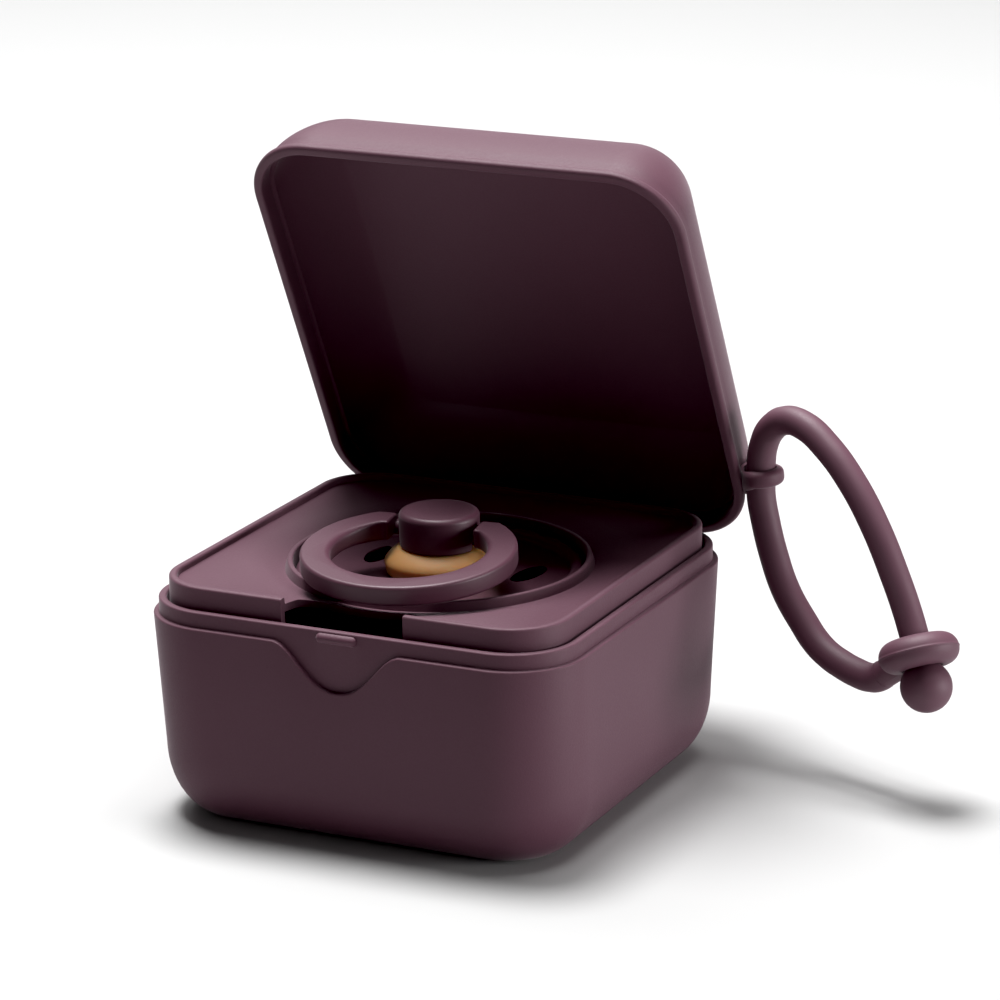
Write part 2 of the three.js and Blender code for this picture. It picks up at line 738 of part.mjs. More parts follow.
function makeRing() {
  const half = ringThickness / 2;
  const r = ringInnerRound;
  const rim = ringRim();
  const band = turned([
    ...arc(ringInner + r, r - half, r, 180, 270, 3),
    ...rim,
    ...arc(ringInner + r, half - r, r, 90, 180, 3),
    [ringInner, r - half],
  ]);
  const disc = turned([[0, -half], ...rim, [0, half]]);
  for (const geometry of [band, disc]) geometry.translate(0, -ringReach, ringOffset);
  const behind = box(-ringOuter, ringOuter, ringBackEdge, ringOuter, -ringOuter, ringOuter);
  const gap = box(-ringSplit, ringSplit, -ringReach, ringOuter, -ringOuter, ringOuter);
  let ring = toSolid(band).subtract(behind).add(toSolid(disc).intersect(ringBar())).subtract(gap);
  for (const side of [-1, 1]) {
    const span = (a, b) => [side * a, side * b].sort((p, q) => p - q);
    const eye = span(knobCore + partGap, ringSplit + eyeRootLength);
    const axle = span(knobCore - axleReach, ringSplit);
    ring = ring.add(rod(eyeRadius, ...eye, 0, 0, 16)).add(rod(axleRadius, ...axle, 0, 0, 12));
  }
  return toGeometry(ring);
}

// Strap pieces, drawn about the button's axis with its bore along Z pointing down the strap
function buttonMatrix() {
  const sideways = new THREE.Vector3(0, 0, 1).cross(buttonAxis).normalize();
  const across = new THREE.Vector3().crossVectors(buttonAxis, sideways);
  return new THREE.Matrix4().makeBasis(sideways, across, buttonAxis).setPosition(buttonPlace);
}

// Stub on the button that the cord's first end meets, a small gap short of it
function makeStub() {
  const way = new THREE.Vector3(...strapRoute[0]).sub(stubRoot);
  const length = way.length() - cordFaceGap;
  const stub = new THREE.CylinderGeometry(strapRadius, strapRadius, length, 16);
  stub.translate(0, length / 2, 0);
  const turn = new THREE.Quaternion().setFromUnitVectors(new THREE.Vector3(0, 1, 0), way.normalize());
  stub.applyQuaternion(turn);
  stub.translate(...stubRoot);
  return toSolid(stub);
}

function makeButton() {
  const h = buttonHalfHeight;
  const bore = strapRadius + strapClearance;
  const flat = buttonRadius - h;
  const profile = [[0, -h], ...arc(flat, 0, h, -90, 90, 7), [0, h]];
  const button = turned(profile, 26);
  button.applyMatrix4(buttonMatrix());
  const channel = new THREE.CylinderGeometry(bore, bore, 2 * buttonRadius, 20);
  channel.rotateX(Math.PI / 2);
  channel.applyMatrix4(buttonMatrix());
  const seat = new THREE.SphereGeometry(ballRadius + buttonSeatGap, 18, 10);
  seat.rotateX(Math.PI / 2);
  seat.translate(0, 0, ballBelow);
  seat.applyMatrix4(buttonMatrix());
  const joined = toSolid(button).add(makeStub());
  return toGeometry(joined.subtract(toSolid(channel)).subtract(toSolid(seat)));
}

function makeBall() {
  const shoulderTurn = THREE.MathUtils.radToDeg(Math.acos(strapRadius / ballRadius));
  const profile = [
    [0, ballNeckTop],
    [strapRadius, ballNeckTop],
    ...arc(0, ballBelow, ballRadius, -shoulderTurn, 90, 9),
  ];
  profile[profile.length - 1] = [0, ballBelow + ballRadius];
  const ball = turned(profile, 20);
  ball.applyMatrix4(buttonMatrix());
  return ball;
}

function makeStrapCord() {
  const points = strapRoute.map(([x, y, z]) => new THREE.Vector3(x, y, z));
  const path = new THREE.CatmullRomCurve3(points, false, 'centripetal');
  const section = new THREE.Shape();
  const sides = 10;
  for (let i = 0; i < sides; i += 1) {
    const t = 2 * Math.PI * i / sides;
    const place = [strapRadius * Math.cos(t), strapRadius * Math.sin(t)];
    if (i === 0) section.moveTo(...place);
    else section.lineTo(...place);
  }
  return new THREE.ExtrudeGeometry(section, { steps: 44, extrudePath: path, bevelEnabled: false });
}

// Finishes: one plum plastic for the case, a softer one for the silicone, amber for the rubber
const plum = new THREE.MeshStandardMaterial({ color: 0x5b3f4b, roughness: 0.55, metalness: 0 });
const silicone = new THREE.MeshStandardMaterial({ color: 0x62454f, roughness: 0.62, metalness: 0 });
const rubber = new THREE.MeshStandardMaterial({ color: 0xa87641, roughness: 0.45, metalness: 0 });
const steel = new THREE.MeshStandardMaterial({ color: 0x9a9a9c, roughness: 0.35, metalness: 1 });

function named(name, geometry, material) {
  const mesh = new THREE.Mesh(geometry, material);
  mesh.name = name;
  return mesh;
}

const model = new THREE.Group();
model.add(named('base_shell', makeTub(), plum));
model.add(named('hinge_pin', makePin(), steel));
model.add(named('tray', makeTray(), plum));
model.add(named('pacifier_shield', makeShield(), plum));
model.add(named('pacifier_nipple', makeNipple(), rubber));

// the ring is drawn flat about its axle and laid down towards the front, and turned with the knob
const ring = named('pacifier_ring', makeRing(), plum);
ring.position.set(0, 0, ringPivot);
ring.rotation.x = ringTilt;
const pull = new THREE.Group();
pull.rotation.z = ringTurn;
pull.add(named('pacifier_knob', makeKnob(), plum), ring);
model.add(pull);

// the lid is drawn shut, and turned open about the hinge
const lidGroup = new THREE.Group();
lidGroup.position.copy(hinge);
lidGroup.rotation.x = -openAngle;
const lid = named('lid', makeLid(), plum);
lid.position.copy(hinge).negate();
lidGroup.add(lid);
model.add(lidGroup);

model.add(named('strap_cord', makeStrapCord(), silicone));
model.add(named('strap_button', makeButton(), silicone));
model.add(named('strap_ball', makeBall(), silicone));

export default model;
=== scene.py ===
# %% [markdown]
# # A pacifier box, dressed for its portrait
#
# The box is a small plum tub of matte plastic. A domed lid leans open over it on a rear hinge, a dished
# tray holds one round pacifier with a ring, and a silicone strap loops through an ear on the lid.
# The engineering model is loaded first and stays as it is. Every piece made here sits on it, rides with
# one of its bodies, and only adds what the eye looks for: soft edges, smooth curves and real finishes.

# %% Load the engineering model
import math

import bmesh
import bpy
from mathutils import Matrix, Vector


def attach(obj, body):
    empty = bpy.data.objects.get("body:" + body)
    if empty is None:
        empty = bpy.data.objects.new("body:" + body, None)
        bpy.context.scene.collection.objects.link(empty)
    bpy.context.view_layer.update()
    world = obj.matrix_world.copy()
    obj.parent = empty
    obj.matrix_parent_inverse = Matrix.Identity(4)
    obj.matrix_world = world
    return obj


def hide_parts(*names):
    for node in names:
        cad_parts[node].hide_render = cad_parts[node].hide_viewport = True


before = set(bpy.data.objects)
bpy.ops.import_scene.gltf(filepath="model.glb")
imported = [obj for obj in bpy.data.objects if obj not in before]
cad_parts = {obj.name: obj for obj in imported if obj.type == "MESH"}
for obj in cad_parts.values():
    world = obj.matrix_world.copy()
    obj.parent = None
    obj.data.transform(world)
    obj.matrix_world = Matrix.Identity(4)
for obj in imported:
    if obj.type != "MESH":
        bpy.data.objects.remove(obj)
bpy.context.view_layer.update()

mm = 0.001
print("nodes:", ", ".join(sorted(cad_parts)))

# %% [markdown]
# ## The camera
#
# A product portrait is shot from far away with a long lens, so that the box keeps its square look. The
# bearing, the downward tilt and a trace of roll were worked out from straight edges and corners in the
# picture, which is why the place below is so exact. A guess by eye would be off by a few pixels.

# %% Place the camera
camera_place = Vector((276.49, -552.70, 230.20)) * mm
camera_yaw = -0.4493
camera_pitch = 0.2934
camera_roll = -0.0141
camera_lens = 157.85
camera_sensor = 36

forward = Vector((
    math.sin(camera_yaw) * math.cos(camera_pitch),
    math.cos(camera_yaw) * math.cos(camera_pitch),
    -math.sin(camera_pitch),
))
level_right = Vector((math.cos(camera_yaw), -math.sin(camera_yaw), 0))
level_up = level_right.cross(forward)
right = math.cos(camera_roll) * level_right + math.sin(camera_roll) * level_up
up = -math.sin(camera_roll) * level_right + math.cos(camera_roll) * level_up

camera_data = bpy.data.cameras.new("portrait_camera")
camera_data.lens = camera_lens
camera_data.sensor_width = camera_sensor
camera_data.clip_start = 10 * mm
camera = bpy.data.objects.new("portrait_camera", camera_data)
bearing = Matrix((right, up, -forward)).transposed().to_4x4()
camera.matrix_world = Matrix.Translation(camera_place) @ bearing
bpy.context.scene.collection.objects.link(camera)
bpy.context.scene.camera = camera
print("camera at", [round(c, 4) for c in camera_place])

# %% [markdown]
# ## Shader maths in plain expressions
#
# Long chains of Math nodes are hard to read. This small class wraps one output socket, so that
# `1 - mask * 0.5` adds its nodes by itself. Everything else, such as noise or a ramp, comes from its
# method `node`, which takes the node's type, its settings and what goes into its sockets.

# %% A socket that can be added and multiplied
class Value:
    def __init__(self, tree, socket=None):
        self.tree = tree
        self.socket = socket

    def node(self, kind, settings=None, inputs=None, output=0):
        made = self.tree.nodes.new(kind)
        for name, setting in (settings or {}).items():
            if name == "stops":
                for stop, (position, colour) in zip(made.color_ramp.elements, setting):
                    stop.position = position
                    stop.color = colour
            else:
                setattr(made, name, setting)
        for name, value in (inputs or {}).items():
            if isinstance(value, Value):
                self.tree.links.new(value.socket, made.inputs[name])
            else:
                made.inputs[name].default_value = value
        return Value(self.tree, made.outputs[output])

    def maths(self, operation, first, second):
        return self.node("ShaderNodeMath", {"operation": operation}, {0: first, 1: second})

    def __add__(self, other):
        return self.maths("ADD", self, other)

    def __radd__(self, other):
        return self.maths("ADD", other, self)

    def __sub__(self, other):
        return self.maths("SUBTRACT", self, other)

    def __rsub__(self, other):
        return self.maths("SUBTRACT", other, self)

    def __mul__(self, other):
        return self.maths("MULTIPLY", self, other)

    def __rmul__(self, other):
        return self.maths("MULTIPLY", other, self)

# %% [markdown]
# ## Starting a material
#
# Every material begins with a Principled shader whose fixed values are set straight on its sockets. What
# varies over a surface reads the piece's own Object coordinates, so the pattern travels with the piece
# when the lid swings. Noise gives the unevenness, and a two-stop ramp turns it into a colour.

# %% Helpers for materials
def new_material(name, constants):
    material = bpy.data.materials.new(name)
    material.use_nodes = True
    tree = material.node_tree
    shader = next(n for n in tree.nodes if n.type == "BSDF_PRINCIPLED")
    for socket, value in constants.items():
        shader.inputs[socket].default_value = value
    return material, shader


def object_place(material):
    return Value(material.node_tree).node("ShaderNodeTexCoord", output="Object")


def noise(place, scale, detail=2.0, rough=0.5):
    return place.node("ShaderNodeTexNoise", {}, {
        "Vector": place, "Scale": scale, "Detail": detail, "Roughness": rough,
    })


def shade(amount, dark, light):
    stops = [(0.0, (*dark, 1)), (1.0, (*light, 1))]
    return amount.node("ShaderNodeValToRGB", {"stops": stops}, {0: amount})


def feed(shader, **sockets):
    for name, value in sockets.items():
        value.tree.links.new(value.socket, shader.inputs[name.replace("_", " ")])

# %% [markdown]
# ## The moulded plastic
#
# The tub, lid, tray and the hard parts of the pacifier come from one plum polypropylene. Its mould was
# spark-eroded, so the skin has a fine even grain that breaks reflections into a soft haze. The grain is a
# small bump with two scales of noise, and the same noise moves the roughness a little. A slow, faint
# change of colour keeps large faces from looking like paper. The strap's silicone is the same recipe, a
# little lighter and without the trace of sheen that the hard plastic has.

# %% Moulded plum plastic
cloud_scale = 45
cloud_share = 0.7
fine_share = 3.1
grain_roughens = 0.22


def make_plum(name, dark, light, roughness, grain_size, grain_depth, sheen=0.0):
    material, shader = new_material(name, {
        "Specular IOR Level": 0.62,
        "IOR": 1.5,
        "Sheen Weight": sheen,
        "Sheen Roughness": 0.4,
        "Sheen Tint": (1.0, 0.93, 0.97, 1.0),
    })
    place = object_place(material)
    cloud = noise(place, cloud_scale, 3)
    grain = noise(place, 1 / grain_size, 2, 0.6)
    fine = noise(place, fine_share / grain_size, 1)
    feed(shader, Base_Color=shade(cloud * cloud_share + grain * (1 - cloud_share), dark, light))
    feed(shader, Roughness=(grain - 0.5) * grain_roughens + roughness)
    bump = place.node("ShaderNodeBump", {}, {
        "Strength": 1.0, "Distance": grain_depth, "Height": grain + fine * 0.5,
    })
    feed(shader, Normal=bump)
    return material


plum = make_plum("moulded_plum", (0.092, 0.031, 0.052), (0.104, 0.036, 0.060), 0.64,
                 0.30 * mm, 0.020 * mm, 0.2)
plum_gloss = make_plum("polished_plum", (0.080, 0.027, 0.045), (0.090, 0.031, 0.052), 0.5,
                       0.22 * mm, 0.006 * mm, 0.1)
silicone = make_plum("plum_silicone", (0.113, 0.048, 0.071), (0.126, 0.055, 0.080), 0.6,
                     0.26 * mm, 0.008 * mm)
print("plastics ready")

# %% [markdown]
# ## Rubber and steel
#
# The nipple is natural rubber: amber, softly shining, and it lets some light in, which subsurface
# scattering gives. The hinge pin is drawn steel, so its noise is stretched along the wire. The pin's solid
# is already as round as it needs to be, so it only gets the new material and no piece of its own.

# %% Amber rubber and drawn steel
amber, shader = new_material("amber_rubber", {
    "Subsurface Weight": 0.8,
    "Subsurface Scale": 3 * mm,
    "Subsurface Radius": (1.0, 0.5, 0.25),
    "IOR": 1.5,
})
mottle = noise(object_place(amber), 260, 3)
feed(shader, Base_Color=shade(mottle, (0.40, 0.212, 0.078), (0.475, 0.256, 0.100)))
feed(shader, Roughness=mottle * 0.15 + 0.5)

steel, shader = new_material("drawn_steel", {"Metallic": 1.0})
place = object_place(steel)
along = place.node("ShaderNodeMapping", {}, {"Vector": place, "Scale": (0.05, 1, 1)})
scratch = noise(along, 9000, 2)
feed(shader, Base_Color=shade(scratch, (0.36, 0.36, 0.37), (0.55, 0.55, 0.56)))
feed(shader, Roughness=scratch * 0.2 + 0.25)
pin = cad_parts["hinge_pin"]
pin.data.materials.clear()
pin.data.materials.append(steel)
print("rubber and steel ready")

# %% [markdown]
# ## Finishing a piece
#
# Each piece is built as a bmesh, then gets its normals turned outwards, smooth shading with crisp edges
# where the angle is sharp, its material and the body that it rides on, and the engineering node that it
# stands for is hidden.
# Cuts such as the finger notch use an exact Boolean, which is applied at once so that the mesh is real.

# %% From bmesh to finished piece
merge_gap = 0.004


def plain_object(name, bm):
    bmesh.ops.remove_doubles(bm, verts=bm.verts, dist=merge_gap * mm)
    bmesh.ops.recalc_face_normals(bm, faces=bm.faces)
    mesh = bpy.data.meshes.new(name)
    bm.to_mesh(mesh)
    bm.free()
    made = bpy.data.objects.new(name, mesh)
    bpy.context.scene.collection.objects.link(made)
    return made


def bake_modifiers(thing):
    graph = bpy.context.evaluated_depsgraph_get()
    mesh = bpy.data.meshes.new_from_object(thing.evaluated_get(graph))
    thing.modifiers.clear()
    old = thing.data
    thing.data = mesh
    bpy.data.meshes.remove(old)


def combine(thing, tool_bm, operation):
    tool = plain_object("tool", tool_bm)
    step = thing.modifiers.new("combine", "BOOLEAN")
    step.solver = "EXACT"
    step.operation = operation
    step.object = tool
    bake_modifiers(thing)
    tool_mesh = tool.data
    bpy.data.objects.remove(tool)
    bpy.data.meshes.remove(tool_mesh)


def soften(thing, width, angle=50, segments=2):
    step = thing.modifiers.new("soften", "BEVEL")
    step.width = width * mm
    step.segments = segments
    step.limit_method = "ANGLE"
    step.angle_limit = math.radians(angle)
    step.use_clamp_overlap = True
    step.material = -1
    bake_modifiers(thing)


def finish_piece(thing, material, body, stands_for, sharp=34):
    mesh = thing.data
    mesh.shade_smooth()
    mesh.set_sharp_from_angle(angle=math.radians(sharp))
    mesh.materials.clear()
    mesh.materials.append(material)
    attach(thing, body)
    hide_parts(stands_for)
    print(thing.name, len(mesh.polygons), "faces")

# %% [markdown]
# ## The strap's cord
#
# The strap is one silicone moulding a little over 4 mm thick. From its button it runs under, up through
# the ear on the lid, over the top and back down through the button's hole, where a ball stops it. Silicone
# this thick is springy, so it stands out from the box instead of hanging limp. A Bezier curve through the
# same route points as the solid gives one smooth centreline, and its bevel depth is the cord's radius.

# %% Lay the cord
strap_radius = 2.2
cord_radius = strap_radius * mm
strap_route = [
    (0.0618, 0.0221, 0.0180), (0.0609, 0.0224, 0.0173), (0.0592, 0.0230, 0.0168), (0.0566, 0.0241, 0.0169),
    (0.0540, 0.0252, 0.0174), (0.0512, 0.0264, 0.0183), (0.0487, 0.0275, 0.0198), (0.0466, 0.0285, 0.0218),
    (0.0429, 0.0302, 0.0261), (0.0404, 0.0314, 0.0311), (0.0387, 0.0323, 0.0359), (0.0378, 0.0327, 0.0399),
    (0.0378, 0.0327, 0.0425), (0.0378, 0.0327, 0.0449), (0.0383, 0.0324, 0.0477), (0.0398, 0.0318, 0.0506),
    (0.0424, 0.0309, 0.0524), (0.0460, 0.0295, 0.0523), (0.0503, 0.0277, 0.0500), (0.0550, 0.0257, 0.0458),
    (0.0593, 0.0239, 0.0402), (0.0630, 0.0226, 0.0334), (0.0655, 0.0217, 0.0280), (0.0667, 0.0209, 0.0254),
    (0.06782, 0.01997, 0.02324),
]

curve = bpy.data.curves.new("strap_loop", "CURVE")
curve.dimensions = "3D"
curve.bevel_depth = cord_radius
curve.bevel_resolution = 7
curve.resolution_u = 8
curve.render_resolution_u = 8
curve.use_fill_caps = True
spline = curve.splines.new("BEZIER")
spline.bezier_points.add(len(strap_route) - 1)
for knot, point in zip(spline.bezier_points, strap_route):
    knot.co = point
    knot.handle_left_type = "AUTO"
    knot.handle_right_type = "AUTO"
strap_loop = bpy.data.objects.new("strap_loop", curve)
bpy.context.scene.collection.objects.link(strap_loop)
curve.materials.append(silicone)
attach(strap_loop, "strap")
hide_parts("strap_cord")

# %% [markdown]
# ## Turned, drilled and pulled shapes
#
# Knob, shield, nipple, button and ball are all turned: a half outline swept once round an axis. The spin
# operator does that, and its merge option closes the seam. Hinge bores, reliefs and knuckles are plain rods
# that lie along X, ribs are blocks, and what has a flat outline is that outline pulled straight.

# %% Shapes that the pieces start from
def round_corner(centre_r, centre_z, radius, start, end, steps=5):
    points = []
    for i in range(steps + 1):
        t = math.radians(start + (end - start) * i / steps)
        points.append((centre_r + radius * math.cos(t), centre_z + radius * math.sin(t)))
    return points


def turned(outline, closed=False, steps=96):
    bm = bmesh.new()
    verts = [bm.verts.new((r * mm, 0, z * mm)) for r, z in outline]
    edges = [bm.edges.new(pair) for pair in zip(verts, verts[1:])]
    if closed:
        edges.append(bm.edges.new((verts[-1], verts[0])))
    bmesh.ops.spin(bm, geom=verts + edges, cent=(0, 0, 0), axis=(0, 0, 1), dvec=(0, 0, 0),
                   angle=2 * math.pi, steps=steps, use_merge=True)
    bmesh.ops.remove_doubles(bm, verts=bm.verts, dist=merge_gap * mm)
    return bm


def cylinder(low_radius, top_radius, depth, segments=64):
    bm = bmesh.new()
    bmesh.ops.create_cone(bm, cap_ends=True, segments=segments, radius1=low_radius * mm,
                          radius2=top_radius * mm, depth=depth * mm)
    return bm


def rod(radius, x0, x1, y, z, segments=48):
    bm = cylinder(radius, radius, x1 - x0, segments)
    bmesh.ops.rotate(bm, verts=bm.verts, cent=(0, 0, 0), matrix=Matrix.Rotation(math.pi / 2, 3, "Y"))
    bmesh.ops.translate(bm, verts=bm.verts, vec=Vector(((x0 + x1) / 2, y, z)) * mm)
    return bm


def block(x0, x1, y0, y1, z0, z1):
    bm = bmesh.new()
    bmesh.ops.create_cube(bm, size=1)
    bmesh.ops.scale(bm, verts=bm.verts, vec=Vector((x1 - x0, y1 - y0, z1 - z0)) * mm)
    bmesh.ops.translate(bm, verts=bm.verts, vec=Vector((x0 + x1, y0 + y1, z0 + z1)) * mm / 2)
    return bm


def pulled(corners, way):
    bm = bmesh.new()
    face = bm.faces.new([bm.verts.new(Vector(corner) * mm) for corner in corners])
    moved = bmesh.ops.extrude_face_region(bm, geom=[face])["geom"]
    far_side = [item for item in moved if isinstance(item, bmesh.types.BMVert)]
    bmesh.ops.translate(bm, verts=far_side, vec=Vector(way) * mm)
    return bm

# %% [markdown]
# ## Button and ball
#
# The button is a fat lens with a bore down its middle, and the cord's first end grows out of its side.
# The ball is the other end of the same moulding: it was pushed through the bore and now sits under it.
# Both are turned about the bore's axis and then laid along it, which a matrix of three directions does.

# %% Turn the button
button_place = Vector((68.0, 19.8, 22.8)) * mm
button_axis = Vector((0.36, -0.33, -0.87)).normalized()
button_radius = 6.0
button_half = 2.35
button_flat = 0.8
button_dip = 0.99
button_edge = 0.35
parting_rise = 0.07
parting_half = 0.08

sideways = Vector((0, 0, 1)).cross(button_axis).normalized()
across = button_axis.cross(sideways)
on_button = Matrix.Translation(button_place) @ Matrix((sideways, across, button_axis)).transposed().to_4x4()

lens = button_radius - button_half
button = plain_object("strap_stopper", turned([
    (0, -button_half), (lens * button_flat, -button_half * button_dip),
    *round_corner(lens, 0, button_half, -90, -4, 14),
    (button_radius + parting_rise, -parting_half), (button_radius + parting_rise, parting_half),
    *round_corner(lens, 0, button_half, 4, 90, 14),
    (lens * button_flat, button_half * button_dip), (0, button_half),
]))

# %% Join the stub and cut the bore and the ball's seat
stub_root = Vector((65.4, 20.95, 20.9)) * mm
stub_swell = 0.02
stub_tuck = 0.06
stub_overlap = 0.5
strap_clearance = 0.3
bore_radius = strap_radius + strap_clearance
bore_depth = 12
ball_radius = 3.85
ball_below = 5.05

way = Vector(strap_route[0]) - stub_root
stub_length = way.length / mm + stub_overlap
stub = cylinder(strap_radius + stub_swell, strap_radius - stub_tuck, stub_length, 48)
bmesh.ops.translate(stub, verts=stub.verts, vec=(0, 0, stub_length / 2 * mm))
along_stub = Matrix.Translation(stub_root) @ way.to_track_quat("Z", "Y").to_matrix().to_4x4()
bmesh.ops.transform(stub, matrix=on_button.inverted() @ along_stub, verts=stub.verts)
combine(button, stub, "UNION")
combine(button, cylinder(bore_radius, bore_radius, bore_depth), "DIFFERENCE")
seat = bmesh.new()
bmesh.ops.create_uvsphere(seat, u_segments=64, v_segments=32, radius=(ball_radius + strap_clearance) * mm)
bmesh.ops.translate(seat, verts=seat.verts, vec=(0, 0, ball_below * mm))
combine(button, seat, "DIFFERENCE")
soften(button, button_edge, angle=40, segments=3)
button.data.transform(on_button)
finish_piece(button, silicone, "strap", "strap_button", sharp=38)

neck_start = 0.3
neck_turn = math.degrees(math.acos(strap_radius / ball_radius))
ball = plain_object("strap_bead", turned([
    (0, neck_start), (strap_radius, neck_start),
    *round_corner(0, ball_below, ball_radius, -neck_turn, 90, 24),
], steps=64))
ball.data.transform(on_button)
finish_piece(ball, silicone, "strap", "strap_ball", sharp=38)

# %% [markdown]
# ## Rounded squares
#
# Tub, tray and lid are lofts through rounded squares whose size and corner radius change with height.
# One square face gets its corners bevelled once and its sides cut finely. Each further ring is an
# extrusion of the last face, moved in or out along its own bearing to the next size. Because every ring
# keeps its points' bearings, a square can flow into a circle, as it does in the tray's dish.

# %% Loft through rounded squares
tub_half = 34.0
start_corner = 11.0
corner_steps = 22
side_cuts = 45


def reach(bearing, half, corner):
    c, s = sorted((abs(math.cos(bearing)), abs(math.sin(bearing))), reverse=True)
    core = half - corner
    flat = half / c
    if flat * s <= core:
        return flat
    along = core * (c + s)
    return along + math.sqrt(along * along - 2 * core * core + corner * corner)


def fit_ring(face, half, corner, z):
    for vert in face.verts:
        bearing = math.atan2(vert.co.y, vert.co.x)
        distance = reach(bearing, half, corner)
        vert.co = Vector((distance * math.cos(bearing), distance * math.sin(bearing), z)) * mm


def loft(rings, closed=False):
    bm = bmesh.new()
    bmesh.ops.create_grid(bm, x_segments=1, y_segments=1, size=tub_half * mm)
    bmesh.ops.bevel(bm, geom=bm.verts[:], offset=start_corner * mm, offset_type="OFFSET",
                    segments=corner_steps, profile=0.5, affect="VERTICES", material=-1, clamp_overlap=False)
    sides = [edge for edge in bm.edges if edge.calc_length() > tub_half * mm]
    bmesh.ops.bisect_edges(bm, edges=sides, cuts=side_cuts)
    bm.faces.ensure_lookup_table()
    face = bm.faces[0]
    fit_ring(face, *rings[0])
    for ring in rings[1:]:
        face = bmesh.ops.extrude_discrete_faces(bm, faces=[face])["faces"][0]
        fit_ring(face, *ring)
    if closed:
        bmesh.ops.delete(bm, geom=[face], context="FACES_ONLY")
        bmesh.ops.bridge_loops(bm, edges=[edge for edge in bm.edges if edge.is_boundary])
    else:
        bmesh.ops.holes_fill(bm, edges=[edge for edge in bm.edges if edge.is_boundary])
    return bm


def rounded(start, end, steps, bulge=2.0):
    """Rings of a soft edge from one (half, corner, z) to another, leaving the first one upright."""
    rings = []
    for i in range(steps + 1):
        turn = math.pi / 2 * i / steps
        inward = 1 - math.cos(turn) ** (2 / bulge)
        upward = math.sin(turn) ** (2 / bulge)
        rings.append((
            start[0] + (end[0] - start[0]) * inward,
            start[1] + (end[1] - start[1]) * inward,
            start[2] + (end[2] - start[2]) * upward,
        ))
    return rings


def edge_ring(half, corner, top, width, steps):
    """The soft top edge of a wall, width wide and high, from the wall's face to its top."""
    return rounded((half, corner, top - abs(width)), (half - width, corner - width, top), steps)

# %% [markdown]
# ## The tub
#
# The tub tapers a little towards its soft, wide foot edge. Its top steps in to a thin neck that the lid
# closes over. At the front the step dips in a soft wave, so that a fingertip gets under the lid's rim:
# the points of the step are simply lowered by a cosine. A Boolean cut would leave a hard edge there.

# %% Build the tub
tub_corner = 11.1
shoulder = 31.0
neck_half = 33.2
neck_corner = 10.3
neck_top = shoulder + 2.3
neck_foot = 0.06
bore_half = 32.0
bore_corner = 9.1
soft_edge = 0.3
wall = 2.0
taper = 0.022
foot_top = 10.8
foot_corner = 12.8
foot_inset = 7.4
floor_inset = 8.4
floor_corner = 4.4
floor_half = 20
side_low = tub_half - taper * (shoulder - foot_top)

foot = rounded((side_low, foot_corner, foot_top), (side_low - foot_inset, foot_corner - foot_inset, 0), 14)
inner_foot = rounded((side_low - wall, foot_corner - wall, foot_top),
                     (side_low - floor_inset, floor_corner, wall), 10)
tub = plain_object("tub", loft([
    (floor_half, floor_corner, 0),
    *foot[::-1],
    *edge_ring(tub_half, tub_corner, shoulder, soft_edge, 4),
    (neck_half + neck_foot, neck_corner + neck_foot, shoulder),
    (neck_half, neck_corner, shoulder + neck_foot),
    *edge_ring(neck_half, neck_corner, neck_top, soft_edge, 4),
    *edge_ring(bore_half, bore_corner, neck_top, -soft_edge, 4)[::-1],
    (bore_half, bore_corner, shoulder),
    *inner_foot,
    (floor_half, floor_corner, wall),
]))

# %% Lower the step in a wave for a fingertip
scoop_half = 10.2
scoop_depth = 6.65
scoop_power = 1.25
step_band = 0.35
front_band = 0.05
lowered = 0
for vert in tub.data.vertices:
    x, y, z = vert.co / mm
    if abs(z - shoulder) < step_band and y < front_band - neck_half and abs(x) < scoop_half:
        share = abs(x / scoop_half) ** scoop_power
        vert.co.z -= scoop_depth * (1 + math.cos(math.pi * share)) / 2 * mm
        lowered += 1
print("scoop lowers", lowered, "points")

# %% [markdown]
# ## The tub's details
#
# Inside, eight slim ribs carry the tray. A small bead on the front of the neck snaps into the lid. At the
# rear, two knuckles on gussets hold the hinge pin, and a round relief between them makes room for the
# lid's knuckle. They are moulded in one with the tub, so they are joined to it instead of being stuck on.

# %% Ribs
rib_inner = 29.98
rib_outer = 31.95
rib_half = 0.7
rib_low = 5.4
rib_high = 24.7
rib_edge = 0.3
rib_aside = 15
for side in range(4):
    for aside in (-rib_aside, rib_aside):
        rib = block(rib_inner, rib_outer, aside - rib_half, aside + rib_half, rib_low, rib_high)
        middle = (rib_inner + rib_outer) / 2 * mm
        free_edges = [edge for edge in rib.edges if max(vert.co.x for vert in edge.verts) < middle]
        bmesh.ops.bevel(rib, geom=free_edges, offset=rib_edge * mm, offset_type="OFFSET", segments=2,
                        profile=0.5, affect="EDGES", material=-1)
        quarter = Matrix.Rotation(side * math.pi / 2, 3, "Z")
        bmesh.ops.rotate(rib, verts=rib.verts, cent=(0, 0, 0), matrix=quarter)
        combine(tub, rib, "UNION")
print("ribs joined")

# %% Snap bead
bead_radius = 0.8
bead_stretch = 2.5
bead_depth = 0.95
bead_y = -32.95
bead_below = 1.1


def snap_bead(grown):
    radius = bead_radius + grown
    bead = bmesh.new()
    bmesh.ops.create_uvsphere(bead, u_segments=32, v_segments=24, radius=radius * mm)
    bmesh.ops.rotate(bead, verts=bead.verts, cent=(0, 0, 0), matrix=Matrix.Rotation(math.pi / 2, 3, "Y"))
    for vert in bead.verts:
        vert.co.x += math.copysign(bead_stretch * mm, vert.co.x)
    bmesh.ops.scale(bead, verts=bead.verts, vec=(1, (bead_depth + grown) / radius, 1))
    bmesh.ops.translate(bead, verts=bead.verts, vec=Vector((0, bead_y, neck_top - bead_below)) * mm)
    return bead


combine(tub, snap_bead(0), "UNION")

